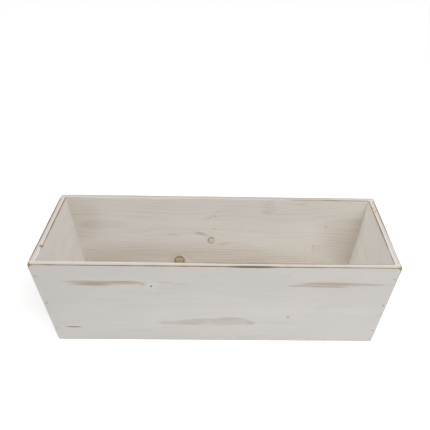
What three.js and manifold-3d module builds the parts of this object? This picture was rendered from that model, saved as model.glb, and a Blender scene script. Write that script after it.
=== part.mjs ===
// A window box planter of five solid pine boards, nailed together.
// Millimetres, +Z up. x runs along the box, the front faces -y and the underside is at z = 0,
// with the origin in the middle of the underside.
import * as THREE from "three";
import { mergeVertices } from "three/addons/utils/BufferGeometryUtils.js";
import Module from "manifold-3d";

// Outside of the box. Its four walls lean outwards, so it is larger at the rim than at the foot.
const RIM_LENGTH = 560;
const RIM_WIDTH = 224;
const FOOT_LENGTH = 508;
const FOOT_WIDTH = 203;
const HEIGHT = 152;

// Boards
const WALL_THICKNESS = 10; // square to the board's face
const BOTTOM_THICKNESS = 10;
const JOINT_GAP = 0.3; // between two boards that meet

// Nails: small-headed wire nails, driven level, with their heads just under the board's face
const HEAD_DIAMETER = 2.4;
const HEAD_THICKNESS = 0.9;
const HEAD_SINK = 0.3;
const SHANK_DIAMETER = 1.5;
const NAIL_LENGTH = 28;
const POINT_LENGTH = 2.5;
const NAIL_SIDES = 8;
const NAIL_CLEARANCE = 0.3; // between a nail and the wood round it
const HOLE_OVERRUN = 3; // how far a nail hole's cutting shape stands out of the board

// Where the nails are: three up each corner, and a row through each wall into the bottom board
const CORNER_NAIL_HEIGHTS = { top: 130, middle: 77, bottom: 24 };
const BOTTOM_NAIL_HEIGHT = BOTTOM_THICKNESS / 2;
const SIDE_NAIL_COUNT = 4;
const SIDE_NAIL_SPACING = 100;
const END_NAIL_COUNT = 2;
const END_NAIL_SPACING = 90;

const whitewashedPine = {
  color: 0xcbc7c0,
  roughness: 0.75,
  metalness: 0,
};
const nailSteel = {
  color: 0x6b625a,
  roughness: 0.5,
  metalness: 0.8,
};

// How far each wall leans out for each millimetre of height
const END_LEAN = (RIM_LENGTH - FOOT_LENGTH) / 2 / HEIGHT;
const SIDE_LEAN = (RIM_WIDTH - FOOT_WIDTH) / 2 / HEIGHT;

// A leaning board's thickness, measured level
const END_LEVEL_THICKNESS = WALL_THICKNESS * Math.hypot(1, END_LEAN);
const SIDE_LEVEL_THICKNESS = WALL_THICKNESS * Math.hypot(1, SIDE_LEAN);

// Distance of the walls' faces from the middle of the box, at a height z
const outerX = (z) => FOOT_LENGTH / 2 + END_LEAN * z;
const outerY = (z) => FOOT_WIDTH / 2 + SIDE_LEAN * z;
const innerX = (z) => outerX(z) - END_LEVEL_THICKNESS;
const innerY = (z) => outerY(z) - SIDE_LEVEL_THICKNESS;

const wasm = await Module();
wasm.setup();

function toSolid(geometry) {
  const bare = geometry.clone();
  bare.deleteAttribute("normal");
  bare.deleteAttribute("uv");
  const merged = mergeVertices(bare);
  return new wasm.Manifold(
    new wasm.Mesh({
      numProp: 3,
      vertProperties: merged.attributes.position.array,
      triVerts: new Uint32Array(merged.index.array),
    }),
  );
}

function toGeometry(solid) {
  const { vertProperties, triVerts } = solid.getMesh();
  const indexed = new THREE.BufferGeometry();
  indexed.setAttribute("position", new THREE.BufferAttribute(vertProperties, 3));
  indexed.setIndex(new THREE.BufferAttribute(triVerts, 1));
  const faceted = indexed.toNonIndexed();
  faceted.computeVertexNormals();
  return faceted;
}

// A board between two heights. x and y each give the board's low and high limit at a height,
// so its faces lean with the walls that it is part of or lies between.
function boardGeometry({ bottom, top, x, y }) {
  const geometry = new THREE.BoxGeometry(1, 1, 1).translate(0.5, 0.5, 0.5);
  const corners = geometry.attributes.position;
  for (let i = 0; i < corners.count; i++) {
    const z = THREE.MathUtils.lerp(bottom, top, corners.getZ(i));
    const [lowX, highX] = x(z);
    const [lowY, highY] = y(z);
    corners.setXYZ(
      i,
      THREE.MathUtils.lerp(lowX, highX, corners.getX(i)),
      THREE.MathUtils.lerp(lowY, highY, corners.getY(i)),
      z,
    );
  }
  geometry.computeVertexNormals();
  return geometry;
}

// A nail that points down -z. Its head ends at `top` above z = 0, and it is `room` wider all
// round: both are nothing for the nail itself, and more than nothing for the hole it sits in.
function nailGeometry({ room = 0, top = 0 } = {}) {
  const head = HEAD_DIAMETER / 2 + room;
  const shank = SHANK_DIAMETER / 2 + room;
  const neck = -HEAD_THICKNESS - room;
  const shoulder = POINT_LENGTH - NAIL_LENGTH;
  const profile = [
    [0, -NAIL_LENGTH - room],
    [shank, shoulder],
    [shank, neck],
    [head, neck],
    [head, top],
    [0, top],
  ].map(([radius, height]) => new THREE.Vector2(radius, height));
  return new THREE.LatheGeometry(profile, NAIL_SIDES).rotateX(Math.PI / 2);
}

// Where a nail sits whose head faces outwards at a point of a board's face
function sinkInto(face, outwards) {
  const up = new THREE.Vector3(0, 0, 1);
  return {
    position: face.addScaledVector(outwards, -HEAD_SINK),
    quaternion: new THREE.Quaternion().setFromUnitVectors(up, outwards),
  };
}

// The two long walls and the two ends, with the direction that each faces
const SIDES = { front: -1, back: 1 };
const ENDS = { left: -1, right: 1 };

// Each nail: its name, its place and the two boards that it holds together
function cornerNails() {
  const nails = [];
  for (const [side, toward] of Object.entries(SIDES)) {
    for (const [end, away] of Object.entries(ENDS)) {
      for (const [row, z] of Object.entries(CORNER_NAIL_HEIGHTS)) {
        const x = away * (outerX(z) - END_LEVEL_THICKNESS / 2);
        const face = new THREE.Vector3(x, toward * outerY(z), z);
        nails.push({
          name: `${side}_${end}_nail_${row}`,
          place: sinkInto(face, new THREE.Vector3(0, toward, 0)),
          through: [`${side}_board`, `${end}_end_board`],
        });
      }
    }
  }
  return nails;
}

function bottomNails() {
  const z = BOTTOM_NAIL_HEIGHT;
  const spread = (index, count, spacing) => (index - (count - 1) / 2) * spacing;
  const nails = [];
  for (const [side, toward] of Object.entries(SIDES)) {
    for (let i = 0; i < SIDE_NAIL_COUNT; i++) {
      const x = spread(i, SIDE_NAIL_COUNT, SIDE_NAIL_SPACING);
      const face = new THREE.Vector3(x, toward * outerY(z), z);
      nails.push({
        name: `bottom_nail_${side}_${i + 1}`,
        place: sinkInto(face, new THREE.Vector3(0, toward, 0)),
        through: [`${side}_board`, "bottom_board"],
      });
    }
  }
  for (const [end, away] of Object.entries(ENDS)) {
    for (let i = 0; i < END_NAIL_COUNT; i++) {
      const y = spread(i, END_NAIL_COUNT, END_NAIL_SPACING);
      const face = new THREE.Vector3(away * outerX(z), y, z);
      nails.push({
        name: `bottom_nail_${end}_${i + 1}`,
        place: sinkInto(face, new THREE.Vector3(away, 0, 0)),
        through: [`${end}_end_board`, "bottom_board"],
      });
    }
  }
  return nails;
}

// The front and back boards run the full length and cover the ends of the end boards.
// The bottom board lies inside the four walls, level with their lower edges.
const wholeLength = (z) => [-outerX(z), outerX(z)];
const betweenSides = (z) => [-innerY(z) + JOINT_GAP, innerY(z) - JOINT_GAP];
const boards = {
  front_board: {
    bottom: 0,
    top: HEIGHT,
    x: wholeLength,
    y: (z) => [-outerY(z), -innerY(z)],
  },
  back_board: {
    bottom: 0,
    top: HEIGHT,
    x: wholeLength,
    y: (z) => [innerY(z), outerY(z)],
  },
  left_end_board: {
    bottom: 0,
    top: HEIGHT,
    x: (z) => [-outerX(z), -innerX(z)],
    y: betweenSides,
  },
  right_end_board: {
    bottom: 0,
    top: HEIGHT,
    x: (z) => [innerX(z), outerX(z)],
    y: betweenSides,
  },
  bottom_board: {
    bottom: 0,
    top: BOTTOM_THICKNESS,
    x: (z) => [-innerX(z) + JOINT_GAP, innerX(z) - JOINT_GAP],
    y: betweenSides,
  },
};

const planter = new THREE.Group();
const nails = [...cornerNails(), ...bottomNails()];

for (const [name, limits] of Object.entries(boards)) {
  let solid = toSolid(boardGeometry(limits));
  for (const nail of nails) {
    if (!nail.through.includes(name)) continue;
    const hole = nailGeometry({ room: NAIL_CLEARANCE, top: HOLE_OVERRUN });
    hole.applyQuaternion(nail.place.quaternion);
    hole.translate(...nail.place.position.toArray());
    solid = solid.subtract(toSolid(hole));
  }
  const board = new THREE.Mesh(
    toGeometry(solid),
    new THREE.MeshStandardMaterial(whitewashedPine),
  );
  board.name = name;
  planter.add(board);
}

for (const { name, place } of nails) {
  const nail = new THREE.Mesh(
    nailGeometry(),
    new THREE.MeshStandardMaterial(nailSteel),
  );
  nail.name = name;
  nail.position.copy(place.position);
  nail.quaternion.copy(place.quaternion);
  planter.add(nail);
}

export default planter;
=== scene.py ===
"""A window box planter: five leaning pine boards, nailed together under a thin grey-white wash.

All five boards follow one rule, so one Geometry Nodes tree grows them, and another drives the
nails. Each board's finish is worked out in its own millimetres: along its grain, in from its outer
face, and up that face.
"""

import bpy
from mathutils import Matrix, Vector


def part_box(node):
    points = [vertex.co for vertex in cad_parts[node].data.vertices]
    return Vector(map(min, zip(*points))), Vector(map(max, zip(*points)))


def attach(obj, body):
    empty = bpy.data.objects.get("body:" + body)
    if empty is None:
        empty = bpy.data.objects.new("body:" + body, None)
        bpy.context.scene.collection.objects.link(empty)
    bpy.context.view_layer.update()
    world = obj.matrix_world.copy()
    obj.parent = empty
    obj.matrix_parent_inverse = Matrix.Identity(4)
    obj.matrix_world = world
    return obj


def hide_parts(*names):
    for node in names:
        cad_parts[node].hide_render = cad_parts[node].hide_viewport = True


bl_info = {
    "name": "Whitewashed Window Box Planter",
    "version": (1, 0, 0),
    "blender": (4, 5, 0),
    "location": "View3D > Sidebar > Planter",
    "description": "Builds a window box planter of nailed, whitewashed pine boards",
    "category": "Object",
}

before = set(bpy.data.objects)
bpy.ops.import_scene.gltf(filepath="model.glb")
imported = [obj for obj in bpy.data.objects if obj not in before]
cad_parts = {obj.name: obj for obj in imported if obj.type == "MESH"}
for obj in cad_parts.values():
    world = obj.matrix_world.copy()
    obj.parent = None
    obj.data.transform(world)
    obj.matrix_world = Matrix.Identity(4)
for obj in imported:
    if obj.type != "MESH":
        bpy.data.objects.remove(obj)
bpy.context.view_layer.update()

from collections import namedtuple
from math import atan2, cos, radians, sin

import bmesh
import bpy
from bpy.props import FloatProperty, FloatVectorProperty, PointerProperty
from mathutils import Matrix, Vector

MM = 0.001
TO_MM = 1000.0


def linear(hex_colour):
    """An sRGB colour such as "#CFCBC8" as the linear RGBA that Blender works in."""
    channels = [int(hex_colour[i : i + 2], 16) / 255 for i in (1, 3, 5)]
    return (*(c / 12.92 if c <= 0.04045 else ((c + 0.055) / 1.055) ** 2.4 for c in channels), 1.0)


# ---- What the frame gives ----

Corners = namedtuple("Corners", "foot_low foot_high rim_low rim_high")


def corners_of(node):
    """A board's lowest and highest corner at its foot and at its rim, in metres."""
    points = [vertex.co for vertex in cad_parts[node].data.vertices]
    near = 0.1 * MM
    found = []
    for level in (corner.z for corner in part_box(node)):
        ring = [point for point in points if abs(point.z - level) < near]
        found += [Vector(pick(p[i] for p in ring) for i in range(3)) for pick in (min, max)]
    return Corners(*found)


FRONT, BACK = corners_of("front_board"), corners_of("back_board")
LEFT, RIGHT = corners_of("left_end_board"), corners_of("right_end_board")
BOTTOM = corners_of("bottom_board")
RIM_CORNER = Vector((FRONT.rim_high.x, BACK.rim_high.y, FRONT.rim_high.z))
INSIDE_FOOT = Vector((RIGHT.foot_low.x, BACK.foot_low.y, 0))
INSIDE_RIM = Vector((RIGHT.rim_low.x, BACK.rim_low.y, RIM_CORNER.z))
HEIGHT = RIM_CORNER.z
INSIDE_MIDDLE = Vector((0, 0, HEIGHT / 2))
CAD_JOINT_GAP = BACK.foot_low.y - RIGHT.foot_high.y

# Where a splinter is gone from the inner edge of the left rim
RIM_BITE = Vector((LEFT.rim_high.x, -59.5 * MM, HEIGHT))

# A quarter turn count brings each wall's outside round to face -y, where the front's is
QUARTER_TURNS = {"front_board": 0, "left_end_board": 1, "back_board": 2, "right_end_board": 3}

# ---- Marks on the boards ----

# In each board's own millimetres. `along` runs to the right and `up` upwards as the board is seen
# from outside; on the inner side, `along` therefore runs to the left. A mark's middle lies `side`
# in from the outer face, `tilt` is in degrees, and `deep` is how far it reaches into the wood. The
# last two of a knot are how strongly its ring and its heart show.
OUTER, INNER = 0.0, 10.0
Mark = namedtuple("Mark", "side along up length height strength tilt deep", defaults=(0, 6.0))
Knot = namedtuple("Knot", "along up radius ring heart")
Marks = namedtuple("Marks", "rubbed lines knots thick bare pale", defaults=((),) * 6)


def on(side, *rows):
    """Marks that lie on one side of a board."""
    return tuple(Mark(side, *row) for row in rows)


MARKS = {
    "front_board": Marks(
        # Streaks where sanding took most of the wash off
        rubbed=on(
            OUTER,
            (-187, 117.2, 88, 14.5, 0.42),
            (-190, 120.8, 116, 5.6, 0.42, 0.5),
            (-138, 119.6, 70, 9.5, 0.5, -1),
            (-158, 118.2, 56, 10, 0.38),
            (-116, 117.4, 22, 6.5, 0.38, -24),
            (-80, 120.6, 38, 4.6, 0.32, -4),
            (-52, 117.6, 60, 2.4, 0.16, -2),
            (-76, 38.5, 40, 9, 0.21, 2),
            (-38, 39.8, 88, 15, 0.27, 4),
            (16, 41.4, 92, 18, 0.27),
            (51, 40.4, 28, 12, 0.33, -10),
            (170, 118.4, 122, 15, 0.45, 0.5),
            (146, 117, 104, 7, 0.32, 2),
            (205, 119.6, 176, 7, 0.36, 0.8),
        ),
        # Fine scratches and resin lines
        lines=on(
            OUTER,
            (-227, 27.2, 35, 2.7, 1),
            (-186, 117.4, 66, 8, 0.24),
            (-192, 114.8, 30, 2.6, 0.2),
            (-145, 121.2, 74, 3, 0.28, -1),
            (-120, 19.4, 98, 1, 0.26),
            (-86, 38, 13, 1.2, 0.28),
            (-83, 27.2, 9, 1.2, 0.3),
            (-177, 127.4, 12, 1.8, 0.2),
            (-18, 47, 46, 1.8, 0.2, 4),
            (26, 48.8, 62, 2, 0.42, -2.5),
            (99, 38, 84, 1.6, 0.18, -1),
            (96, 42.5, 60, 1.2, 0.14, -2),
            (194, 121.6, 96, 2, 0.26, 1.5),
            (66, 94.5, 156, 1.6, 0.1, 1),
            (6, 117, 42, 1.8, 0.12),
            (-190, 49.5, 24, 1.6, 0.1, 2),
            (-146, 53, 28, 1.6, 0.1),
            (114, 51.8, 5.6, 5.6, 0.55),
            (37, 7.5, 8, 1.6, 0.22),
            (55, 7.5, 7, 1.6, 0.22),
        ),
        knots=(
            Knot(-98.9, 112.8, 1.3, 2, 2),
            Knot(166, 73, 7, 0.05, 0.05),
            Knot(109, 134, 5, 0.05, 0.04),
            Knot(220, 141, 4, 0.05, 0.04),
        ),
        thick=on(INNER, (-190, 152, 176, 16, 0.75)),
        bare=on(
            OUTER,
            (-20, 152, 620, 4, 0.5, 0, 3),
            (56, 152, 110, 7, 2.5, 0, 4),
            (0, 0, 560, 4, 0.55, 0, 3),
        )
        + on(INNER, (95, 152.4, 450, 7, 1.55, 0, 5.5)),
        # Where the wash is paler: towards the foot this is painted light, standing in for light
        # thrown up from the floor; round the pin knot the wash ran together
        pale=on(OUTER, (30, 0, 900, 260, 0.34), (-98.9, 112.8, 34, 26, 0.22)),
    ),
    "back_board": Marks(
        rubbed=on(
            INNER,
            (71.8, 24.8, 23, 23, 0.52),
            (12.2, 68.4, 15, 15, 0.14),
            (30, 81.5, 36, 9, 0.34, 18),
            (85, 78, 44, 5, 0.18),
            (-10, 60.9, 40, 8, 0.2, -8),
            (8, 120, 56, 9, 0.1, -34),
            (-86, 127, 26, 9, 0.15),
            (-92, 136, 30, 44, 0.08),
            (8.5, 93, 12, 8, 0.15),
            (-149, 143, 30, 6, 0.14),
            # Broad marks, darker towards the inner corners and the foot: partly painted shade,
            # partly wood where the wash is thin
            (262, 110, 130, 130, 0.14),
            (60, 16, 700, 112, 0.27),
            (-262, 70, 190, 150, 0.2),
        )
        + on(5, (0, 152.6, 680, 6, 0.26, 0, 9))
        + on(
            OUTER,
            (-128, 104, 170, 13, 0.4, 1),
            (-176, 108, 90, 6, 0.36, -1),
            (168, 36, 130, 12, 0.3, -1),
        ),
        lines=on(
            INNER,
            (232, 45.5, 28, 2.2, 0.26, 1),
            (28, 43.5, 132, 1.6, 0.2, 0.5),
            (110, 36, 80, 1.4, 0.14),
            (4.6, 117.4, 3.4, 3.4, 0.55),
        )
        + on(
            OUTER,
            (-120, 107.4, 96, 1.8, 0.3, 1),
            (60, 126, 70, 1.4, 0.22),
            (190, 88, 44, 1.6, 0.26),
        ),
        knots=(
            Knot(12.2, 68.4, 6.6, 0.68, 0),
            Knot(71.8, 24.8, 9.8, 0.66, 0.24),
            Knot(-198, 99, 2.6, 0.3, 0.3),
            Knot(-184.6, 52.3, 6, 0.15, 0.12),
            Knot(-176, 53, 2.4, 0.26, 0.26),
        ),
        thick=on(INNER, (85, 152, 540, 16, 0.8), (6, 67.4, 7.5, 13, 0.9)),
    ),
    "left_end_board": Marks(
        rubbed=on(INNER, (-30, 60, 90, 7, 0.1, 2), (59.5, 152.8, 10, 7, 1.1, 0, 8))
        + on(OUTER, (20, 96, 90, 8, 0.4)),
        lines=on(OUTER, (-40, 48, 46, 1.6, 0.3, 1)),
        knots=(Knot(-38, 41, 5.5, 0.35, 0.2),),
        thick=on(INNER, (84, 152, 44, 12, 0.5)),
        # Paler over most of the inner face
        pale=on(INNER, (0, 40, 420, 300, 0.7)),
        bare=on(OUTER, (0, 154.2, 360, 9, 1.7, 0, 6))
        + on(INNER, (59.5, 152.8, 9, 7, 1.3, 0, 8), (-40, 152.5, 190, 4, 0.5, 0, 3)),
    ),
    "right_end_board": Marks(
        rubbed=on(INNER, (28, 84, 60, 6, 0.08))
        + on(OUTER, (-26, 62, 84, 7, 0.42, 1))
        + on(8.5, (77, 153.2, 8, 5, 0.55, 0, 3))
        + on(4.5, (68, 153.6, 7, 5, 0.45, 0, 3)),
        lines=on(OUTER, (30, 118, 52, 1.6, 0.3, -1))
        + on(7, (61, 153.2, 4.4, 4, 1, 0, 2.2)),
        knots=(Knot(44, 57, 4, 0.12, 0.08),),
        thick=on(OUTER, (-78, 154, 90, 12, 0.8)),
        bare=on(OUTER, (48, 154.2, 190, 9, 1.6, 0, 6))
        + on(INNER, (20, 152.5, 200, 5, 0.6, 0, 4)),
    ),
    "bottom_board": Marks(
        rubbed=on(INNER, (-90, 22, 160, 12, 0.28), (130, -38, 120, 9, 0.28, 1))
        + on(OUTER, (40, 10, 220, 14, 0.45)),
        knots=(Knot(-148, -34, 7, 0.5, 0.4), Knot(96, 47, 5, 0.4, 0.3)),
    ),
}

# Where each board's log had its heart, in and up from the foot of the outer face, and how far
# the figure is slid along so that no two boards look alike
Log = namedtuple("Log", "heart_in heart_up slide")
LOGS = {
    "front_board": Log(58, 62, 0),
    "back_board": Log(-46, 96, 900),
    "left_end_board": Log(64, 108, 1900),
    "right_end_board": Log(-52, 40, 2800),
    "bottom_board": Log(70, 12, 3700),
}


# ---- What a user would change ----


def length_setting(name, description, default, least=0):
    """A size in metres that a user can change, down to the least."""
    return FloatProperty(
        name=name,
        description=description,
        default=default,
        min=least,
        subtype="DISTANCE",
        unit="LENGTH",
    )


def colour_setting(name, description, hex_colour):
    """A colour that a user can change."""
    return FloatVectorProperty(
        name=name,
        description=description,
        default=linear(hex_colour),
        size=4,
        min=0,
        max=1,
        subtype="COLOR",
    )


class BoardSettings(bpy.types.PropertyGroup):
    """Sizes of the boards that the frame doesn't give"""

    joint_gap: length_setting("Joint gap", "Gap that shows between two boards that meet", 0.1 * MM)
    spacing: length_setting(
        "Mesh spacing",
        "Distance between the mesh lines on a board's faces",
        2.5 * MM,
        least=1 * MM,
    )
    arris: length_setting("Arris radius", "Radius of the sanded edges", 0.9 * MM)
    chip: length_setting(
        "Chip depth", "How much larger that radius gets where an edge was knocked", 1.1 * MM
    )
    corner: length_setting(
        "Worn corner", "How much larger that radius gets at the rim's four corners", 1.8 * MM
    )
    bite: length_setting(
        "Rim bite", "Depth of the splinter that is gone from the left rim", 1.2 * MM
    )
    waviness: length_setting("Waviness", "How far the boards' faces stray from flat", 0.5 * MM)


class NailSettings(bpy.types.PropertyGroup):
    """Sizes of the small-headed wire nails"""

    head_diameter: length_setting("Head diameter", "Diameter of a nail's head", 2.4 * MM)
    head_thickness: length_setting("Head thickness", "Height of a nail's head", 0.9 * MM)
    shank_diameter: length_setting(
        "Shank diameter", "Diameter of the wire that the nails are made of", 1.5 * MM
    )
    point_length: length_setting("Point length", "Length of a nail's cut point", 2.5 * MM)
    clearance: length_setting(
        "Hole clearance", "Room between a nail and the wood round it", 0.12 * MM
    )
    tilt: FloatProperty(
        name="Tilt",
        description="How far out of true a nail may be driven",
        default=radians(2),
        subtype="ANGLE",
        unit="ROTATION",
    )


class FinishSettings(bpy.types.PropertyGroup):
    """Colours and sizes of the washed pine and the nail steel"""

    wash_cool: colour_setting("Wash, cool", "The thin paint where nothing tints it", "#CCCAC8")
    wash_warm: colour_setting(
        "Wash, warm", "The thin paint where the wood's resin tinted it", "#D2CCC6"
    )
    # Paler wash: round the pin knot where it ran together, and towards the front's foot painted
    # light thrown up from the floor
    pale_wash_and_painted_light: colour_setting("Wash, thick", "The paint where it ran together", "#E0DCD9")
    # A shade lighter inside: partly lighter paint, partly painted light that brightens the inside
    # of the box
    wash_inner_and_painted_light: colour_setting(
        "Wash, inside", "The paint on the inner faces, a shade lighter", "#E6E2DC"
    )
    early_wood: colour_setting("Early wood", "The pale, soft part of each growth ring", "#AA9069")
    late_wood: colour_setting("Late wood", "The dark, hard part of each growth ring", "#866C4A")
    knot_wood: colour_setting("Knot", "The dark ring and heart of a knot", "#856E30")
    dead_knot: colour_setting(
        "Dead knot", "The nearly black wood of a small loose knot", "#2F2722"
    )
    bare_arris: colour_setting(
        "Bare edge", "Wood on the edges where the wash is sanded off", "#957239"
    )
    bare_dark: colour_setting(
        "Bare edge, dark", "The same where hands and dirt got into it", "#674A2A"
    )
    ring_spacing: FloatProperty(
        name="Ring spacing",
        description="Mean width of a growth ring, in millimetres",
        default=3.4,
        min=0.5,
    )
    wear_width: FloatProperty(
        name="Edge wear",
        description="Width of the bare strip along a rim edge, in millimetres",
        default=1.0,
        min=0,
    )
    wash_outside: FloatProperty(
        name="Wash outside",
        description="Share of the wood that the wash hides on the outer faces",
        default=0.975,
        min=0,
        max=1,
        subtype="FACTOR",
    )
    wash_inside: FloatProperty(
        name="Wash inside",
        description="Share of the wood that the wash hides on the inner faces",
        default=0.94,
        min=0,
        max=1,
        subtype="FACTOR",
    )
    nail_steel: colour_setting("Nail steel", "Bare steel of the nail heads", "#8A8079")
    nail_rust: colour_setting(
        "Nail rust", "Rust that the water in the wash left on the heads", "#6A4E3C"
    )


class StageSettings(bpy.types.PropertyGroup):
    """The floor and the light, which aren't part of the planter"""

    floor: colour_setting("Floor", "Colour of the plain floor", "#F6F6F5")
    floor_lift: FloatProperty(
        name="Floor lift",
        description="What the camera sees added to the floor, so that its far end is white too",
        default=0.33,
        min=0,
    )
    sky: FloatProperty(
        name="Sky", description="Strength of the even light from all round", default=0.33, min=0
    )
    key: FloatProperty(
        name="Key lamp",
        description="Power of the large soft lamp in front, above and to the right",
        default=19.0,
        min=0,
        subtype="POWER",
        unit="POWER",
    )
    left_bank: FloatProperty(
        name="Left bank",
        description="Strength of the wide bank of lamps on the left",
        default=1.12,
        min=0,
    )
    right_bank: FloatProperty(
        name="Right bank",
        description="Strength of the wide bank of lamps on the right",
        default=0.52,
        min=0,
    )


class PlanterSettings(bpy.types.PropertyGroup):
    """Everything that can be changed on the planter"""

    boards: PointerProperty(type=BoardSettings)
    nails: PointerProperty(type=NailSettings)
    finish: PointerProperty(type=FinishSettings)
    stage: PointerProperty(type=StageSettings)


# ---- Trees of nodes ----

# Kinds of node, and their settings, that come up again and again
MATH, VECTOR, COMBINE = "ShaderNodeMath", "ShaderNodeVectorMath", "ShaderNodeCombineXYZ"
SEPARATE, MAP_RANGE = "ShaderNodeSeparateXYZ", "ShaderNodeMapRange"
MIX, NOISE = "ShaderNodeMix", "ShaderNodeTexNoise"
SMOOTH = {"interpolation_type": "SMOOTHSTEP"}
OF_VECTORS, OF_COLOURS = {"data_type": "VECTOR"}, {"data_type": "RGBA"}


def add(tree, kind, inputs=(), operation=None, **settings):
    """Adds a node with its settings. An input that is a node or a socket is linked."""
    node = tree.nodes.new(kind)
    if operation:
        node.operation = operation
    for name, value in settings.items():
        setattr(node, name, value)
    if isinstance(inputs, dict):
        pairs = [(node.inputs[label], value) for label, value in inputs.items()]
    else:
        pairs = zip([socket for socket in node.inputs if socket.enabled], inputs)
    for socket, value in pairs:
        if isinstance(value, bpy.types.Node):
            value = next(output for output in value.outputs if output.enabled)
        if isinstance(value, bpy.types.NodeSocket):
            tree.links.new(value, socket)
        else:
            socket.default_value = value
    return node


def add_weighted(tree, total, *pairs):
    """A total, and to it each value times its weight."""
    for value, weight in pairs:
        total = add(tree, MATH, [value, weight, total], "MULTIPLY_ADD")
    return total


def new_shader_tree(owner):
    """The emptied node tree of a material or a world."""
    owner.use_nodes = True
    owner.node_tree.nodes.clear()
    return owner.node_tree


def new_object(context, name, data):
    """An object in the scene that holds the given mesh, lamp or camera."""
    thing = bpy.data.objects.new(name, data)
    context.scene.collection.objects.link(thing)
    return thing


def new_geometry_tree(name, **sockets):
    """An empty Geometry Nodes tree, with the labels of its inputs by their kind."""
    tree = bpy.data.node_groups.new(name, "GeometryNodeTree")
    tree.interface.new_socket("Geometry", in_out="OUTPUT", socket_type="NodeSocketGeometry")
    for kind, labels in sockets.items():
        for label in labels:
            tree.interface.new_socket(label, in_out="INPUT", socket_type="NodeSocket" + kind)
    return tree


def grow(context, name, tree, values, start=None):
    """Runs a Geometry Nodes tree and returns its result as a plain mesh object."""
    piece = new_object(context, name, start or bpy.data.meshes.new(name))
    modifier = piece.modifiers.new(name, "NODES")
    modifier.node_group = tree
    for item in tree.interface.items_tree:
        if item.in_out == "INPUT" and item.name in values:
            modifier[item.identifier] = values[item.name]
    context.view_layer.update()
    evaluated = piece.evaluated_get(context.evaluated_depsgraph_get())
    mesh = bpy.data.meshes.new_from_object(evaluated)
    piece.modifiers.remove(modifier)
    piece.data = mesh
    mesh.name = name
    if not mesh.polygons:
        raise RuntimeError(f"{name} came out empty")
    return piece


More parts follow.
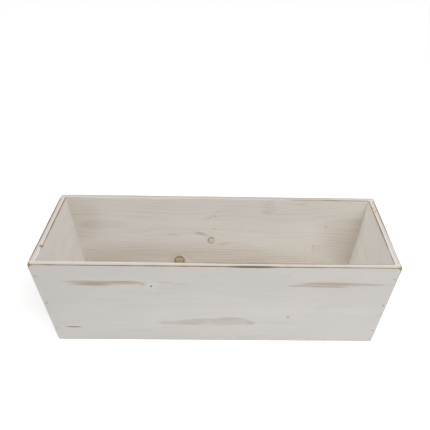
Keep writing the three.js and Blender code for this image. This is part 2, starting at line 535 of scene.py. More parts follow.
def board_tree():
    """A board with sanded, knocked edges that leans from its foot rectangle to its rim one."""
    tree = new_geometry_tree(
        "leaning_board",
        Vector=(
            "Foot Low",
            "Foot High",
            "Rim Low",
            "Rim High",
            "Inside Foot",
            "Inside Rim",
            "Rim Corner",
            "Bite Place",
        ),
        Float=("Spacing", "Arris", "Chip", "Corner", "Waviness", "Bite Depth"),
        Object=("Holes",),
        Material=("Wood",),
    )
    given = add(tree, "NodeGroupInput").outputs
    band_steps = 3  # mesh lines in the strip along each edge that gets rounded
    band = 2.0 * MM  # width of that strip
    middle, nothing = (0.5,) * 3, (0,) * 3

    # Mean size of the board, and the number of mesh steps along each side
    foot_span = add(tree, VECTOR, [given["Foot High"], given["Foot Low"]], "SUBTRACT")
    rim_span = add(tree, VECTOR, [given["Rim High"], given["Rim Low"]], "SUBTRACT")
    rise = add(tree, VECTOR, [given["Rim Low"], given["Foot Low"]], "SUBTRACT")
    level_size = add(tree, MIX, [0.5, foot_span, rim_span], **OF_VECTORS)
    size = add(tree, VECTOR, [rise, (0, 0, 1), level_size], "MULTIPLY_ADD")
    half = add(tree, VECTOR, [size, 0.5], "SCALE")
    spacing = add(tree, COMBINE, [given["Spacing"]] * 3)
    fitting = add(tree, VECTOR, [size, spacing], "DIVIDE")
    whole = add(tree, VECTOR, [fitting], "CEIL")
    steps = add(tree, VECTOR, [whole, (2 * band_steps,) * 3], "ADD")
    counts = add(tree, SEPARATE, [add(tree, VECTOR, [steps, (1, 1, 1)], "ADD")]).outputs
    block = add(tree, "GeometryNodeMeshCube", {"Vertices " + axis: counts[axis] for axis in "XYZ"})

    # Count each mesh line from its nearer end, and put the first few into the edge's strip
    where = add(tree, "GeometryNodeInputPosition")
    share = add(tree, VECTOR, [where, middle], "ADD")
    line = add(tree, VECTOR, [share, steps], "MULTIPLY")
    far_line = add(tree, VECTOR, [steps, line], "SUBTRACT")
    near_line = add(tree, VECTOR, [line, far_line], "MINIMUM")
    in_strip = add(
        tree,
        MAP_RANGE,
        [near_line, nothing, (band_steps,) * 3, nothing, (band,) * 3],
        data_type="FLOAT_VECTOR",
    )
    mid_line = add(tree, VECTOR, [steps, 0.5], "SCALE")
    mid_size = add(tree, VECTOR, [half, (band,) * 3], "SUBTRACT")
    past_strip = add(
        tree,
        MAP_RANGE,
        [near_line, (band_steps,) * 3, mid_line, nothing, mid_size],
        data_type="FLOAT_VECTOR",
    )
    inward = add(tree, VECTOR, [in_strip, past_strip], "ADD")
    outward = add(tree, VECTOR, [half, inward], "SUBTRACT")
    sides = add(tree, VECTOR, [where], "SIGN")
    straight = add(tree, VECTOR, [sides, outward], "MULTIPLY")

    def leaned(point):
        """Where a point of the straight board lies once the board leans."""
        part = add(tree, VECTOR, [point, size], "DIVIDE")
        part = add(tree, VECTOR, [part, middle], "ADD")
        climb = add(tree, SEPARATE, [part]).outputs["Z"]
        low = add(tree, MIX, [climb, given["Foot Low"], given["Rim Low"]], **OF_VECTORS)
        high = add(tree, MIX, [climb, given["Foot High"], given["Rim High"]], **OF_VECTORS)
        return add(tree, MIX, [part, low, high], **OF_VECTORS, factor_mode="NON_UNIFORM")

    sharp_place = leaned(straight)

    # A face that is glued to another board keeps its edges sharp: the joint runs up each inner
    # corner of the box, from the inner faces of the end boards outwards
    mirrored = add(tree, VECTOR, [sharp_place], "ABSOLUTE")
    level = add(tree, SEPARATE, [sharp_place]).outputs["Z"]
    top = add(tree, SEPARATE, [given["Inside Rim"]]).outputs["Z"]
    climb = add(tree, MATH, [level, top], "DIVIDE")
    inside = add(tree, MIX, [climb, given["Inside Foot"], given["Inside Rim"]], **OF_VECTORS)
    past = add(tree, SEPARATE, [add(tree, VECTOR, [mirrored, inside], "SUBTRACT")]).outputs
    slack = 0.5 * MM
    over_end = add(tree, MATH, [past["X"], -slack], "GREATER_THAN")
    at_joint = add(tree, MATH, [past["Y"], 0.0, band], "COMPARE")
    glued = add(tree, MATH, [over_end, at_joint], "MULTIPLY")
    exposed = add(tree, MATH, [1.0, glued], "SUBTRACT")
    rounded_sides = add(tree, COMBINE, [1.0, exposed, 1.0])

    # The radius swells and shrinks along an edge, more at knocks and at the rim's corners
    swell_length, knock_length, corner_reach = 35 * MM, 11 * MM, 9 * MM
    handling = add(tree, NOISE, {"Vector": sharp_place, "Scale": 1 / swell_length, "Detail": 2.0})
    swell = add(tree, MAP_RANGE, [handling, 0.3, 0.7, 0.55, 1.25])
    knocks = add(tree, NOISE, {"Vector": sharp_place, "Scale": 1 / knock_length, "Detail": 1.0})
    knocked = add(tree, MAP_RANGE, [knocks, 0.66, 0.78, 0.0, 1.0])
    to_corner = add(tree, VECTOR, [mirrored, given["Rim Corner"]], "DISTANCE")
    cornered = add(tree, MAP_RANGE, [to_corner, corner_reach, 0.0, 0.0, 1.0], **SMOOTH)
    radius = add(tree, MATH, [given["Arris"], swell], "MULTIPLY")
    radius = add_weighted(tree, radius, (given["Chip"], knocked), (given["Corner"], cornered))

    # Round the edges: what lies outside the core is drawn in to the radius round it
    trim = add(tree, VECTOR, [rounded_sides, radius], "SCALE")
    core = add(tree, VECTOR, [half, trim], "SUBTRACT")
    core_low = add(tree, VECTOR, [core, -1.0], "SCALE")
    held = add(tree, VECTOR, [straight, core], "MINIMUM")
    held = add(tree, VECTOR, [held, core_low], "MAXIMUM")
    over = add(tree, VECTOR, [straight, held], "SUBTRACT")
    direction = add(tree, VECTOR, [over], "NORMALIZE")
    drawn_in = add(tree, VECTOR, [direction, radius], "SCALE")
    rounded = add(tree, VECTOR, [held, drawn_in], "ADD")

    # All boards stray from flat together, so their joints stay shut
    wave_length = 150 * MM
    stray = add(tree, NOISE, {"Vector": sharp_place, "Scale": 1 / wave_length, "Detail": 1.0})
    centred = add(tree, VECTOR, [stray.outputs["Color"], middle], "SUBTRACT")
    shift = add(tree, VECTOR, [centred, given["Waviness"]], "SCALE")
    placed = add(tree, VECTOR, [leaned(rounded), shift], "ADD")

    # A bite out of the rim, deepest at its place
    bite_edge, bite_floor = 5.5 * MM, 1.5 * MM
    to_bite = add(tree, VECTOR, [sharp_place, given["Bite Place"]], "DISTANCE")
    bitten = add(
        tree, MAP_RANGE, [to_bite, bite_edge, bite_floor, 0.0, given["Bite Depth"]], **SMOOTH
    )
    drop = add(tree, MATH, [bitten, -1.0], "MULTIPLY")
    lost = add(tree, COMBINE, {"Z": drop})
    placed = add(tree, VECTOR, [placed, lost], "ADD")
    # Nothing stands out past the box's rim corners
    low_corner = add(tree, VECTOR, [given["Rim Corner"], (-1, -1, 0)], "MULTIPLY")
    placed = add(tree, VECTOR, [placed, given["Rim Corner"]], "MINIMUM")
    placed = add(tree, VECTOR, [placed, low_corner], "MAXIMUM")
    shaped = add(tree, "GeometryNodeSetPosition", {"Geometry": block, "Position": placed})

    crease = radians(32)  # edges that bend more are drawn sharp
    holes = add(tree, "GeometryNodeObjectInfo", {"Object": given["Holes"]})
    drilled = add(
        tree,
        "GeometryNodeMeshBoolean",
        {"Mesh 1": shaped, "Mesh 2": holes.outputs["Geometry"]},
        "DIFFERENCE",
        solver="MANIFOLD",
    )
    smooth = add(tree, "GeometryNodeSetShadeSmooth", {"Geometry": drilled.outputs["Mesh"]})
    corner_angle = add(tree, "GeometryNodeInputMeshEdgeAngle").outputs["Unsigned Angle"]
    creased = add(tree, "FunctionNodeCompare", [corner_angle, crease], "GREATER_THAN")
    edged = add(
        tree,
        "GeometryNodeSetShadeSmooth",
        {"Geometry": smooth, "Selection": creased, "Shade Smooth": False},
        domain="EDGE",
    )
    real = add(tree, "GeometryNodeRealizeInstances", {"Geometry": edged})
    painted = add(tree, "GeometryNodeSetMaterial", {"Geometry": real, "Material": given["Wood"]})
    add(tree, "NodeGroupOutput", [painted])
    return tree


def nail_tree():
    """Drives a copy of one nail in at every point, along the way out that the point carries."""
    tree = new_geometry_tree(
        "driven_nails",
        Geometry=("Geometry",),
        Object=("Nail",),
        Float=("Tilt",),
        Int=("Seed",),
        Material=("Steel",),
    )
    given = add(tree, "NodeGroupInput").outputs
    nail = add(tree, "GeometryNodeObjectInfo", {"Object": given["Nail"]})
    way_out = add(
        tree, "GeometryNodeInputNamedAttribute", {"Name": "way_out"}, data_type="FLOAT_VECTOR"
    )
    aligned = add(tree, "FunctionNodeAlignRotationToVector", {"Vector": way_out}, axis="Z")
    half_turn = radians(180)  # a nail may be turned any way round its own length
    lean = add(tree, COMBINE, [given["Tilt"], given["Tilt"], half_turn])
    lean_back = add(tree, VECTOR, [lean, -1.0], "SCALE")
    wander = add(
        tree, "FunctionNodeRandomValue", [lean_back, lean, given["Seed"]], data_type="FLOAT_VECTOR"
    )
    turned = add(
        tree,
        "FunctionNodeRotateRotation",
        {"Rotation": aligned, "Rotate By": wander},
        rotation_space="LOCAL",
    )
    driven = add(
        tree,
        "GeometryNodeInstanceOnPoints",
        {"Points": given["Geometry"], "Instance": nail.outputs["Geometry"], "Rotation": turned},
    )
    real = add(tree, "GeometryNodeRealizeInstances", {"Geometry": driven})
    painted = add(tree, "GeometryNodeSetMaterial", {"Geometry": real, "Material": given["Steel"]})
    add(tree, "NodeGroupOutput", [painted])
    return tree


# ---- Materials ----


def to_board(name):
    """The matrix from the planter's metres to a board's own, and the board's half length at
    the foot and at the rim."""
    corners = corners_of(name)
    if name == "bottom_board":
        matrix = Matrix.Rotation(radians(-90), 4, "X")
        return matrix, corners.foot_high.x, corners.rim_high.x
    turn = Matrix.Rotation(radians(90) * QUARTER_TURNS[name], 4, "Z")
    foot = [turn @ corners.foot_low, turn @ corners.foot_high]
    rim = [turn @ corners.rim_low, turn @ corners.rim_high]
    foot_out, rim_out = (min(point.y for point in pair) for pair in (foot, rim))
    lean = atan2(foot_out - rim_out, HEIGHT)
    matrix = Matrix.Rotation(-lean, 4, "X") @ Matrix.Translation((0, -foot_out, 0)) @ turn
    return matrix, max(p.x for p in foot), max(p.x for p in rim)


def marked(tree, place, marks):
    """How strongly marks cover a point: each is a soft-edged ellipse on one side of the board."""
    full = 0.4  # share of its size within which a mark has all its strength
    total = 0.0
    for mark in marks:
        local = add(
            tree,
            "ShaderNodeMapping",
            [
                place,
                (mark.along, mark.side, mark.up),
                (0, -radians(mark.tilt), 0),
                (mark.length / 2, mark.deep, mark.height / 2),
            ],
            vector_type="TEXTURE",
        )
        reach = add(tree, VECTOR, [local], "LENGTH")
        cover = add(tree, MAP_RANGE, [reach, 1.0, full, 0.0, mark.strength], **SMOOTH)
        total = add(tree, MATH, [total, cover], "MAXIMUM")
    return total


def knotted(tree, place, knots, wobble):
    """Bends the grain round each knot. Returns the bent place and how strongly knot wood shows:
    a ring of bark and resin round a heart. Its sizes are in shares of the knot's radius."""
    ring_place, ring_edge, ring_full = 0.86, 0.36, 0.08
    heart_edge, heart_full = 0.80, 0.25
    bent_most, bent_least, most_pull = 0.7, 4.0, -0.85
    total = 0.0
    for knot in knots:
        centre = (knot.along, 0, knot.up)
        offset = add(tree, VECTOR, [place, centre], "SUBTRACT")
        across = add(tree, VECTOR, [offset, (1, 0, 1)], "MULTIPLY")
        reach = add(tree, VECTOR, [across], "LENGTH")
        reach = add(tree, MATH, [reach, knot.radius], "DIVIDE")
        uneven = add(tree, MATH, [reach, wobble], "ADD")
        off_ring = add(tree, MATH, [uneven, ring_place], "SUBTRACT")
        off_ring = add(tree, MATH, [off_ring], "ABSOLUTE")
        for source, far, near, strength in (
            (off_ring, ring_edge, ring_full, knot.ring),
            (uneven, heart_edge, heart_full, knot.heart),
        ):
            shows = add(tree, MAP_RANGE, [source, far, near, 0.0, strength], **SMOOTH)
            total = add(tree, MATH, [total, shows], "MAXIMUM")
        pull = add(
            tree,
            MAP_RANGE,
            [reach, bent_most, bent_least, most_pull, 0.0],
            interpolation_type="SMOOTHERSTEP",
        )
        pulled = add(tree, VECTOR, [offset, pull], "SCALE")
        place = add(tree, VECTOR, [pulled, (0, 0, 1), place], "MULTIPLY_ADD")
    return place, total


def edge_distances(tree, name, place, height):
    """Millimetres from a point of a board's surface to its nearest open edge, and to its
    nearest open corner."""
    _, foot_reach, rim_reach = to_board(name)
    glued_from = INNER + 0.2  # from the board's end
    never_near = 1000.0
    spot = add(tree, SEPARATE, [place]).outputs
    along = add(tree, MATH, [spot["X"]], "ABSOLUTE")
    if name == "bottom_board":
        tall, deep = BOTTOM.rim_high.z * TO_MM, BOTTOM.rim_high.y * TO_MM
        up = add(tree, MATH, [spot["Z"]], "ABSOLUTE")
        third = add(tree, MATH, [deep, up], "SUBTRACT")
    else:
        tall = HEIGHT * TO_MM
        middle = add(tree, MATH, [height, tall / 2], "SUBTRACT")
        middle = add(tree, MATH, [middle], "ABSOLUTE")
        third = add(tree, MATH, [tall / 2, middle], "SUBTRACT")
    off_middle = add(tree, MATH, [spot["Y"], INNER / 2], "SUBTRACT")
    off_middle = add(tree, MATH, [off_middle], "ABSOLUTE")
    through = add(tree, MATH, [INNER / 2, off_middle], "SUBTRACT")
    climb = (rim_reach - foot_reach) * TO_MM / tall
    limit = add(tree, MATH, [height, climb, foot_reach * TO_MM], "MULTIPLY_ADD")
    end = add(tree, MATH, [limit, along], "SUBTRACT")
    if name in ("front_board", "back_board"):
        # Past the inner faces of the ends, the inner side is glued and has no open edge
        over_end = add(tree, MATH, [end, glued_from], "LESS_THAN")
        through = add(tree, MIX, [over_end, through, spot["Y"]])
    elif name != "bottom_board":
        end = add(tree, MATH, [end, never_near], "ADD")
    small = add(tree, MATH, [through, end], "MINIMUM")
    large = add(tree, MATH, [through, end], "MAXIMUM")
    larger = add(tree, MATH, [large, third], "MINIMUM")
    edge = add(tree, MATH, [small, larger], "MAXIMUM")
    corner = add(tree, MATH, [large, third], "MAXIMUM")
    return edge, corner


# What varies along the grain: length and width in millimetres, and fineness. Fibres are really
# some 0.03 mm wide, and are drawn coarse so that they show.
GRAIN = {
    "growth": (420, 80, 2.0),
    "clouds": (110, 26, 3.0),
    "strokes": (70, 2.8, 3.0),
    "fibres": (48, 0.9, 3.0),
}


def whitewashed_pine(name, finish):
    """Flat-sawn pine, planed, brushed with one thin coat of grey-white paint and sanded back.

    The eye gets a chalky, dead-flat skin with the growth rings and fibres faintly through it,
    tan wood in streaks where the sander bit, and a thin line of bare brown wood along the rim.
    """
    material = bpy.data.materials.new("whitewashed_pine_" + name)
    tree = new_shader_tree(material)
    marks, log = MARKS[name], LOGS[name]
    matrix, _, _ = to_board(name)
    rim = HEIGHT * TO_MM

    spot = add(tree, "ShaderNodeTexCoord").outputs["Object"]
    place = add(
        tree,
        "ShaderNodeMapping",
        [spot, matrix.translation * TO_MM, matrix.to_euler(), (TO_MM,) * 3],
        vector_type="POINT",
    )
    height = add(tree, MATH, [add(tree, SEPARATE, [spot]).outputs["Z"], TO_MM], "MULTIPLY")
    depth = add(tree, SEPARATE, [place]).outputs["Y"]
    edge, corner = edge_distances(tree, name, place, height)

    # Unevenness in the grain's direction, about zero
    grain, scatter = {}, None
    slid = add(tree, VECTOR, [place, (log.slide, 0, 0)], "ADD")
    for label, (length, width, detail) in GRAIN.items():
        drawn_out = add(tree, VECTOR, [slid, (1 / length, 1 / width, 1 / width)], "MULTIPLY")
        noise = add(
            tree, NOISE, {"Vector": drawn_out, "Scale": 1.0, "Detail": detail, "Roughness": 0.55}
        )
        grain[label] = add(tree, MATH, [noise, 0.5], "SUBTRACT")
        if label == "strokes":
            scatter = add(tree, VECTOR, [noise.outputs["Color"], (0.5,) * 3], "SUBTRACT")

    # Growth rings round the log's heart, bent by slow growth and by knots
    growth_stray = 26.0
    wobble = add(tree, MATH, [grain["strokes"], 0.5], "MULTIPLY")
    bent, knotty = knotted(tree, place, marks.knots, wobble)
    heart = add(tree, VECTOR, [bent, (0, log.heart_in, log.heart_up)], "SUBTRACT")
    heart = add(tree, VECTOR, [heart, (0, 1, 1)], "MULTIPLY")
    grown = add(
        tree,
        MATH,
        [grain["growth"], growth_stray, add(tree, VECTOR, [heart], "LENGTH")],
        "MULTIPLY_ADD",
    )
    year = add(tree, MATH, [grown, finish.ring_spacing], "DIVIDE")
    season = add(tree, MATH, [year], "FRACT")
    ripening = add(tree, MAP_RANGE, [season, 0.25, 0.85, 0.0, 1.0], **SMOOTH)
    winter = add(tree, MAP_RANGE, [season, 0.88, 1.0, 1.0, 0.0], **SMOOTH)
    late = add(tree, MATH, [ripening, winter], "MULTIPLY")
    darker = add(tree, MATH, [grain["fibres"], 0.9, late], "MULTIPLY_ADD")
    wood = add(tree, MIX, [darker, finish.early_wood, finish.late_wood], **OF_COLOURS)
    wood = add(tree, MIX, [knotty, wood, finish.knot_wood], **OF_COLOURS)

    dead = add(tree, MAP_RANGE, [knotty, 1.0, 1.3, 0.0, 1.0])
    wood = add(tree, MIX, [dead, wood, finish.dead_knot], **OF_COLOURS)

    # Marks waver as a sander's path does
    waver_along, waver_up = 16, 7
    waver = add(tree, VECTOR, [scatter, (waver_along, 0, waver_up)], "MULTIPLY")
    wavered = add(tree, VECTOR, [place, waver], "ADD")
    # Sanded streaks; the broad marks on the back's inner face are partly painted shade, towards
    # its foot and its ends
    rubbed = marked(tree, wavered, marks.rubbed)
    lined, thick, chipped, pale = (
        marked(tree, place, kind) for kind in (marks.lines, marks.thick, marks.bare, marks.pale)
    )

    # Share of the wood that the wash hides: less inside, where one coat went on dry
    inside = add(tree, MAP_RANGE, [depth, 4.0, 9.0, 0.0, 1.0])
    share = add(tree, MIX, [inside, finish.wash_outside, finish.wash_inside])
    uneven = add_weighted(
        tree,
        0.0,
        (late, -0.022),
        (grain["fibres"], -0.10),
        (grain["strokes"], 0.07),
        (grain["clouds"], 0.10),
    )
    shows = add(tree, MIX, [inside, 1.0, 1.9])
    hidden = add(tree, MATH, [uneven, shows, share], "MULTIPLY_ADD")
    on_rim = add(tree, MAP_RANGE, [height, rim - 0.6, rim - 0.1, 0.0, 1.0])
    rim_share, least_share = 0.97, 0.05
    hidden = add(tree, MIX, [on_rim, hidden, rim_share])
    streaky = add(tree, MATH, [grain["strokes"], 1.5, 1.0], "MULTIPLY_ADD")
    # Sanding, and the painted shade on the back's inner face, uncover the wood
    sanded_and_painted_shade = add(tree, MATH, [rubbed, streaky], "MULTIPLY")
    covered = add(tree, MATH, [1.0, thick], "SUBTRACT")
    knot_shows = add(tree, MATH, [knotty, covered], "MULTIPLY")
    hidden = add_weighted(tree, hidden, (sanded_and_painted_shade, -1.0), (knot_shows, -0.8))
    hidden = add(tree, "ShaderNodeClamp", [hidden, least_share, 1.0])

    # Edges are sanded through to brown wood along the rim, and hardly at all elsewhere
    patch_length, wear_starts, wear_full = 26.0, rim - 14, rim - 4
    wear_noise = add(
        tree, NOISE, {"Vector": place, "Scale": 1 / patch_length, "Detail": 3.0, "Roughness": 0.6}
    )
    near_rim = add(tree, MAP_RANGE, [height, wear_starts, wear_full, -0.05, 0.95])
    at_corner = add(tree, MAP_RANGE, [corner, 8.0, 2.0, 0.0, 2.4])
    wear = add(tree, MATH, [near_rim, at_corner, near_rim], "MULTIPLY_ADD")
    patchy = add(tree, MATH, [wear_noise, 0.5], "SUBTRACT")
    wear = add_weighted(tree, wear, (patchy, 1.2), (thick, -1.3), (chipped, 1.0))
    strip = add(tree, MATH, [wear, finish.wear_width], "MULTIPLY")
    within = add(tree, MATH, [strip, edge], "SUBTRACT")
    bare = add(tree, MAP_RANGE, [within, -0.5, 0.5, 0.0, 0.9], **SMOOTH)

    tint = add(tree, MATH, [grain["clouds"], 2.0, 0.3], "MULTIPLY_ADD")
    # Inner faces a shade lighter: partly painted light inside the box
    inner = add(tree, MATH, [inside, 0.9], "MULTIPLY")
    wash = finish.wash_cool
    for share, colour in (
        (tint, finish.wash_warm),
        (inner, finish.wash_inner_and_painted_light),
        # Paler wash; towards the front's foot this is painted light thrown up from the floor
        (pale, finish.pale_wash_and_painted_light),
    ):
        wash = add(tree, MIX, [share, wash, colour], **OF_COLOURS)
    washed = add(tree, MIX, [hidden, wood, wash], **OF_COLOURS)
    scratched = add(tree, MIX, [lined, washed, finish.late_wood], **OF_COLOURS)
    edge_shade = add(tree, MAP_RANGE, [wear_noise, 0.4, 0.75, 0.0, 0.6])
    grimy = add(tree, MAP_RANGE, [chipped, 1.5, 2.6, 0.0, 1.0])
    edge_shade = add(tree, MATH, [edge_shade, grimy], "MAXIMUM")
    edge_wood = add(tree, MIX, [edge_shade, finish.bare_arris, finish.bare_dark], **OF_COLOURS)
    worn = add(tree, MIX, [bare, scratched, edge_wood], **OF_COLOURS)

    chalky = add(tree, MAP_RANGE, [hidden, 0.2, 1.0, 0.62, 0.86])
    # Relief in millimetres: wash film, brush strokes, raised late wood, fibres and scratches
    relief = add_weighted(
        tree,
        0.0,
        (hidden, 0.06),
        (grain["strokes"], 0.10),
        (late, 0.02),
        (grain["fibres"], 0.05),
        (lined, -0.12),
    )
    bump = add(tree, "ShaderNodeBump", {"Height": relief, "Strength": 0.8, "Distance": MM})
    surface = add(
        tree,
        "ShaderNodeBsdfPrincipled",
        {"Base Color": worn, "Roughness": chalky, "Normal": bump, "IOR": 1.5},
    )
    add(tree, "ShaderNodeOutputMaterial", [surface])
    return material


def nail_steel(finish, covered):
    """Soft steel wire, forged to a small head and wiped over with the wash.

    The eye gets small grey-brown dots: dull metal, rust where the wash wetted it, and smears of
    wash that the brush left.
    """
    state = "wiped" if covered < 0.5 else "painted"
    material = bpy.data.materials.new(state + "_nail_steel")
    tree = new_shader_tree(material)
    spot = add(tree, "ShaderNodeTexCoord").outputs["Object"]
    # Rust blooms are about half a millimetre across, and wash smears twice that
    bloom_size, smear_size = 0.6 * MM, 1.4 * MM
    most_covered = min(covered + 0.65, 1.0)
    blooms = add(tree, NOISE, {"Vector": spot, "Scale": 1 / bloom_size, "Detail": 3.0})
    rusty = add(tree, MAP_RANGE, [blooms, 0.42, 0.62, 0.0, 1.0])
    smears = add(tree, NOISE, {"Vector": spot, "Scale": 1 / smear_size, "Detail": 2.0})
    smeared = add(tree, MAP_RANGE, [smears, 0.45, 0.7, covered, most_covered])
    colour = add(tree, MIX, [rusty, finish.nail_steel, finish.nail_rust], **OF_COLOURS)
    colour = add(tree, MIX, [smeared, colour, finish.wash_cool], **OF_COLOURS)
    metal = add(tree, MATH, [1.0, smeared], "SUBTRACT")
    rust_free = add(tree, MATH, [1.0, rusty], "SUBTRACT")
    metal = add(tree, MATH, [metal, rust_free], "MULTIPLY")
    rough = add(tree, MAP_RANGE, [blooms, 0.3, 0.7, 0.45, 0.75])
    bump = add(tree, "ShaderNodeBump", {"Height": blooms, "Strength": 0.6, "Distance": 0.1 * MM})
    surface = add(
        tree,
        "ShaderNodeBsdfPrincipled",
        {"Base Color": colour, "Metallic": metal, "Roughness": rough, "Normal": bump},
    )
    add(tree, "ShaderNodeOutputMaterial", [surface])
    return material


def seen_by_camera(tree):
    """1 for what the camera sees, straight or in a reflection, and 0 for what lights a surface."""
    path = add(tree, "ShaderNodeLightPath").outputs
    seen = add(tree, MATH, [path["Is Camera Ray"], path["Is Glossy Ray"]], "MAXIMUM")
    return add(tree, MATH, [seen, path["Is Transmission Ray"]], "MAXIMUM")


def plain_floor(stage):
    """Matt white studio board: nothing shows but the planter's own soft shadow."""
    material = bpy.data.materials.new("white_studio_board")
    tree = new_shader_tree(material)
    board = add(tree, "ShaderNodeBsdfDiffuse", {"Color": stage.floor})
    lift = add(tree, MATH, [seen_by_camera(tree), stage.floor_lift], "MULTIPLY")
    glow = add(tree, "ShaderNodeEmission", {"Color": (1, 1, 1, 1), "Strength": lift})
    surface = add(tree, "ShaderNodeAddShader", [board, glow])
    add(tree, "ShaderNodeOutputMaterial", [surface])
    return material


# ---- Pieces ----

NAIL_NODES = [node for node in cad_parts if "nail" in node]
WAYS_OUT = {
    "front": Vector((0, -1, 0)),
    "back": Vector((0, 1, 0)),
    "left": Vector((-1, 0, 0)),
    "right": Vector((1, 0, 0)),
}


def nail_way_out(node):
    """Which way a nail's head faces: a corner nail goes through the front or the back."""
    words = node.split("_")
    return WAYS_OUT[words[2] if node.startswith("bottom") else words[0]]


def nail_points(name, nodes):
    """A point at the top of each nail's head, which carries the way out of the wood."""
    mesh = bpy.data.meshes.new(name)
    places, ways = [], []
    for node in nodes:
        low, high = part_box(node)
        way = nail_way_out(node)
        middle, half = (low + high) / 2, (high - low) / 2
        places.append(middle + Vector(w * h for w, h in zip(way, half)))
        ways.extend(way)
    mesh.from_pydata(places, [], [])
    mesh.attributes.new("way_out", "FLOAT_VECTOR", "POINT").data.foreach_set("vector", ways)
    return mesh


def nail_length(node):
    """A nail is longest along its own way."""
    low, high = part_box(node)
    return max(high - low)


def lathe(name, profile, turns=20):
    """A closed solid of revolution round z, from (radius, height) points down from the top."""
    shape = bmesh.new()
    line = [shape.verts.new((radius, 0, height)) for radius, height in profile]
    edges = [shape.edges.new(pair) for pair in zip(line, line[1:])]
    bmesh.ops.spin(
        shape, geom=line + edges, axis=(0, 0, 1), cent=(0, 0, 0), angle=radians(360), steps=turns
    )
    bmesh.ops.remove_doubles(shape, verts=shape.verts, dist=0.001 * MM)
    bmesh.ops.recalc_face_normals(shape, faces=shape.faces)
    for face in shape.faces:
        face.smooth = True
    mesh = bpy.data.meshes.new(name)
    shape.to_mesh(mesh)
    shape.free()
    mesh.set_sharp_from_angle(angle=radians(40))
    return bpy.data.objects.new(name, mesh)


NECK = 0.3 * MM  # taper under a nail's head


def nail_shape(nails):
    """One nail: a head with a rounded rim and the punch's dimple, a shank and a cut point."""
    head, shank = nails.head_diameter / 2, nails.shank_diameter / 2
    length = nail_length(NAIL_NODES[0])
    soft, dimple = 0.18 * MM, 0.14 * MM
    profile = [(0, -dimple), (0.35 * head, -dimple), (0.6 * head, -0.02 * MM)]
    for step in range(4):
        angle = radians(90 - 30 * step)
        profile.append((head - soft + soft * cos(angle), soft * sin(angle) - soft))
    profile += [
        (head, soft - nails.head_thickness),
        (head - soft, -nails.head_thickness),
        (shank, -nails.head_thickness - NECK),
        (shank, nails.point_length - length),
        (0, -length),
    ]
    return lathe("nail_shape", profile)


def nail_hole_shape(nails):
    """The room that one nail takes in the wood, open over its head."""
    head = nails.head_diameter / 2 + nails.clearance
    shank = nails.shank_diameter / 2 + nails.clearance
    length = nail_length(NAIL_NODES[0]) + nails.clearance
    shoulder = -nails.head_thickness - nails.clearance
    above = 3 * MM  # past the board's face, whatever the lean
    profile = [
        (0, above),
        (head, above),
        (head, shoulder),
        (shank, shoulder - NECK),
        (shank, nails.point_length - length),
        (0, -length),
    ]
    return lathe("nail_hole_shape", profile)


def drive_nails(context, name, nodes, shape, material, seed):
    """One plain mesh of nails at the places of some CAD nails."""
    settings = context.scene.planter.nails
    values = {"Nail": shape, "Tilt": settings.tilt, "Seed": seed}
    if material:
        values["Steel"] = material
    piece = grow(context, name, nail_tree(), values, nail_points(name, nodes))
    bpy.data.objects.remove(shape)
    return piece


NAIL_GROUPS = {
    "corner_nails": [node for node in NAIL_NODES if not node.startswith("bottom")],
    "bottom_nails": [node for node in NAIL_NODES if node.startswith("bottom")],
}
NAIL_SEEDS = {"corner_nails": 4, "bottom_nails": 9}
# Share of the heads that the wash covers: the bottom nails' are painted over
NAIL_COVER = {"corner_nails": 0.1, "bottom_nails": 0.88}


def saw_boards(context, names):
    """Makes boards at the places of their CAD nodes, with holes for the nails."""
    settings = context.scene.planter
    boards = settings.boards
    close = CAD_JOINT_GAP - boards.joint_gap
    widen = {
        "left_end_board": Vector((0, close, 0)),
        "right_end_board": Vector((0, close, 0)),
        "bottom_board": Vector((close, close, 0)),
    }
    holes = [
        drive_nails(
            context,
            group + "_holes",
            nodes,
            nail_hole_shape(settings.nails),
            None,
            NAIL_SEEDS[group],
        )
        for group, nodes in NAIL_GROUPS.items()
    ]
    join = bmesh.new()
    for hole in holes:
        join.from_mesh(hole.data)
    join.to_mesh(holes[0].data)
    join.free()
    tree = board_tree()
    for name in names:
        corners = corners_of(name)
        wider = widen.get(name, Vector((0, 0, 0)))
        board = grow(
            context,
            name + "_washed",
            tree,
            {
                "Foot Low": corners.foot_low - wider,
                "Foot High": corners.foot_high + wider,
                "Rim Low": corners.rim_low - wider,
                "Rim High": corners.rim_high + wider,
                "Inside Foot": INSIDE_FOOT,
                "Inside Rim": INSIDE_RIM,
                "Rim Corner": RIM_CORNER,
                "Spacing": boards.spacing,
                "Arris": boards.arris,
                "Chip": boards.chip,
                "Corner": boards.corner,
                "Waviness": boards.waviness,
                "Bite Place": RIM_BITE,
                "Bite Depth": boards.bite,
                "Holes": holes[0],
                "Wood": whitewashed_pine(name, settings.finish),
            },
        )
        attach(board, "root")
        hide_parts(name)
    for hole in holes:
        bpy.data.objects.remove(hole)


def set_nails(context, name):
    """Makes a group of nails at the places of their CAD nodes."""
    settings = context.scene.planter
    nodes = NAIL_GROUPS[name]
    nails = drive_nails(
        context,
        name,
        nodes,
        nail_shape(settings.nails),
        nail_steel(settings.finish, NAIL_COVER[name]),
        NAIL_SEEDS[name],
    )
    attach(nails, "root")
    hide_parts(*nodes)


class PLANTER_OT_long_boards(bpy.types.Operator):
    """Make the front and back boards, which run the full length"""

    bl_idname = "planter.long_boards"
    bl_label = "Front and Back Boards"

    def execute(self, context):
        saw_boards(context, ["front_board", "back_board"])
        return {"FINISHED"}


class PLANTER_OT_end_boards(bpy.types.Operator):
    """Make the two end boards, which lie between the front and the back"""

    bl_idname = "planter.end_boards"
    bl_label = "End Boards"

    def execute(self, context):
        saw_boards(context, ["left_end_board", "right_end_board"])
        return {"FINISHED"}


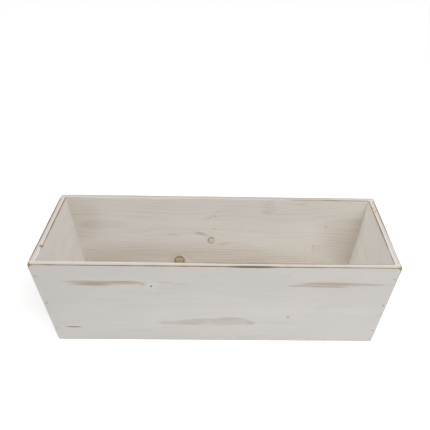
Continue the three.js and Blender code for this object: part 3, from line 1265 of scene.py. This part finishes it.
class PLANTER_OT_bottom_board(bpy.types.Operator):
    """Make the bottom board, which lies inside the four walls"""

    bl_idname = "planter.bottom_board"
    bl_label = "Bottom Board"

    def execute(self, context):
        saw_boards(context, ["bottom_board"])
        return {"FINISHED"}


class PLANTER_OT_corner_nails(bpy.types.Operator):
    """Drive the nails that hold the front and back boards to the ends"""

    bl_idname = "planter.corner_nails"
    bl_label = "Corner Nails"

    def execute(self, context):
        set_nails(context, "corner_nails")
        return {"FINISHED"}


class PLANTER_OT_bottom_nails(bpy.types.Operator):
    """Drive the nails that hold the walls to the bottom board"""

    bl_idname = "planter.bottom_nails"
    bl_label = "Bottom Nails"

    def execute(self, context):
        set_nails(context, "bottom_nails")
        return {"FINISHED"}


# ---- Stage ----

# The photograph's view: a 430 pixel square frame, taken as a 36 mm wide sensor
FRAME_PIXELS = 430
SENSOR = 36.0
FOCAL_PIXELS = 617.3
PRINCIPAL_POINT = (240.0, 235.1)
CAMERA_PLACE = Vector((12.11, -873.61, 668.86)) * MM
CAMERA_YAW = radians(1.671)
CAMERA_PITCH = radians(31.224)
CAMERA_ROLL = radians(1.523)

KEY_PLACE, KEY_SIZE = (0.68, -1.2, 1.65), 1.2
LEFT_BANK, RIGHT_BANK, BANK_ANGLE = (-1.5, -0.1, 1.5), (1.5, -0.1, 1.5), radians(60)


def add_camera(context):
    """The photograph's camera. The shift is what its crop needs."""
    camera = new_object(context, "camera", bpy.data.cameras.new("camera"))
    camera.data.sensor_width = SENSOR
    camera.data.lens = FOCAL_PIXELS / FRAME_PIXELS * SENSOR
    camera.data.shift_x = 0.5 - PRINCIPAL_POINT[0] / FRAME_PIXELS
    camera.data.shift_y = PRINCIPAL_POINT[1] / FRAME_PIXELS - 0.5
    turn = (
        Matrix.Rotation(-CAMERA_YAW, 4, "Z")
        @ Matrix.Rotation(radians(90) - CAMERA_PITCH, 4, "X")
        @ Matrix.Rotation(CAMERA_ROLL, 4, "Z")
    )
    camera.matrix_world = Matrix.Translation(CAMERA_PLACE) @ turn
    context.scene.camera = camera


def add_lamp(context, name, kind, place, strength, **settings):
    """A soft lamp that faces the planter. Only the direction counts for a sun."""
    lamp = new_object(context, name, bpy.data.lights.new(name, kind))
    lamp.data.energy = strength
    for key, value in settings.items():
        setattr(lamp.data, key, value)
    lamp.location = place
    lamp.rotation_euler = (Vector(place) - INSIDE_MIDDLE).to_track_quat("Z", "Y").to_euler()


def add_sky(context, strength):
    """Even light from all round, which the camera sees as plain white."""
    world = bpy.data.worlds.new("studio")
    context.scene.world = world
    tree = new_shader_tree(world)
    level = add(tree, MIX, [seen_by_camera(tree), strength, 1.0])
    light = add(tree, "ShaderNodeBackground", {"Strength": level, "Color": (1, 1, 1, 1)})
    add(tree, "ShaderNodeOutputWorld", [light])


def add_floor(context, stage):
    """A plain floor under the planter, which keeps its shadow."""
    half = 6.0  # metres
    mesh = bpy.data.meshes.new("floor")
    mesh.from_pydata(
        [(-half, -half, 0), (half, -half, 0), (half, half, 0), (-half, half, 0)],
        [],
        [(0, 1, 2, 3)],
    )
    floor = new_object(context, "floor", mesh)
    mesh.materials.append(plain_floor(stage))


class PLANTER_OT_stage(bpy.types.Operator):
    """Lay the floor and set the lights and the camera"""

    bl_idname = "planter.stage"
    bl_label = "Stage"

    def execute(self, context):
        stage = context.scene.planter.stage
        context.scene.view_settings.view_transform = "Standard"
        add_floor(context, stage)
        add_sky(context, stage.sky)
        add_lamp(context, "key", "AREA", KEY_PLACE, stage.key, size=KEY_SIZE)
        for name, place, strength in (
            ("left_bank", LEFT_BANK, stage.left_bank),
            ("right_bank", RIGHT_BANK, stage.right_bank),
        ):
            add_lamp(context, name, "SUN", place, strength, angle=BANK_ANGLE)
        add_camera(context)
        return {"FINISHED"}


# ---- Panel and registration ----

OPERATORS = (
    PLANTER_OT_long_boards,
    PLANTER_OT_end_boards,
    PLANTER_OT_bottom_board,
    PLANTER_OT_corner_nails,
    PLANTER_OT_bottom_nails,
    PLANTER_OT_stage,
)


class PLANTER_PT_build(bpy.types.Panel):
    """Lists the planter's pieces and the settings they are made with"""

    bl_label = "Window Box Planter"
    bl_space_type = "VIEW_3D"
    bl_region_type = "UI"
    bl_category = "Planter"

    def draw(self, context):
        settings = context.scene.planter
        for group in (settings.boards, settings.nails, settings.finish, settings.stage):
            box = self.layout.box()
            for name in group.bl_rna.properties.keys():
                if name not in ("rna_type", "name"):
                    box.prop(group, name)
        for operator in OPERATORS:
            self.layout.operator(operator.bl_idname)


CLASSES = (
    BoardSettings,
    NailSettings,
    FinishSettings,
    StageSettings,
    PlanterSettings,
    *OPERATORS,
    PLANTER_PT_build,
)


def register():
    for each in CLASSES:
        bpy.utils.register_class(each)
    bpy.types.Scene.planter = PointerProperty(type=PlanterSettings)


def unregister():
    del bpy.types.Scene.planter
    for each in reversed(CLASSES):
        bpy.utils.unregister_class(each)


def main():
    """Builds every piece."""
    register()
    for operator in OPERATORS:
        group, name = operator.bl_idname.split(".")
        getattr(getattr(bpy.ops, group), name)()


if __name__ == "__main__":
    main()
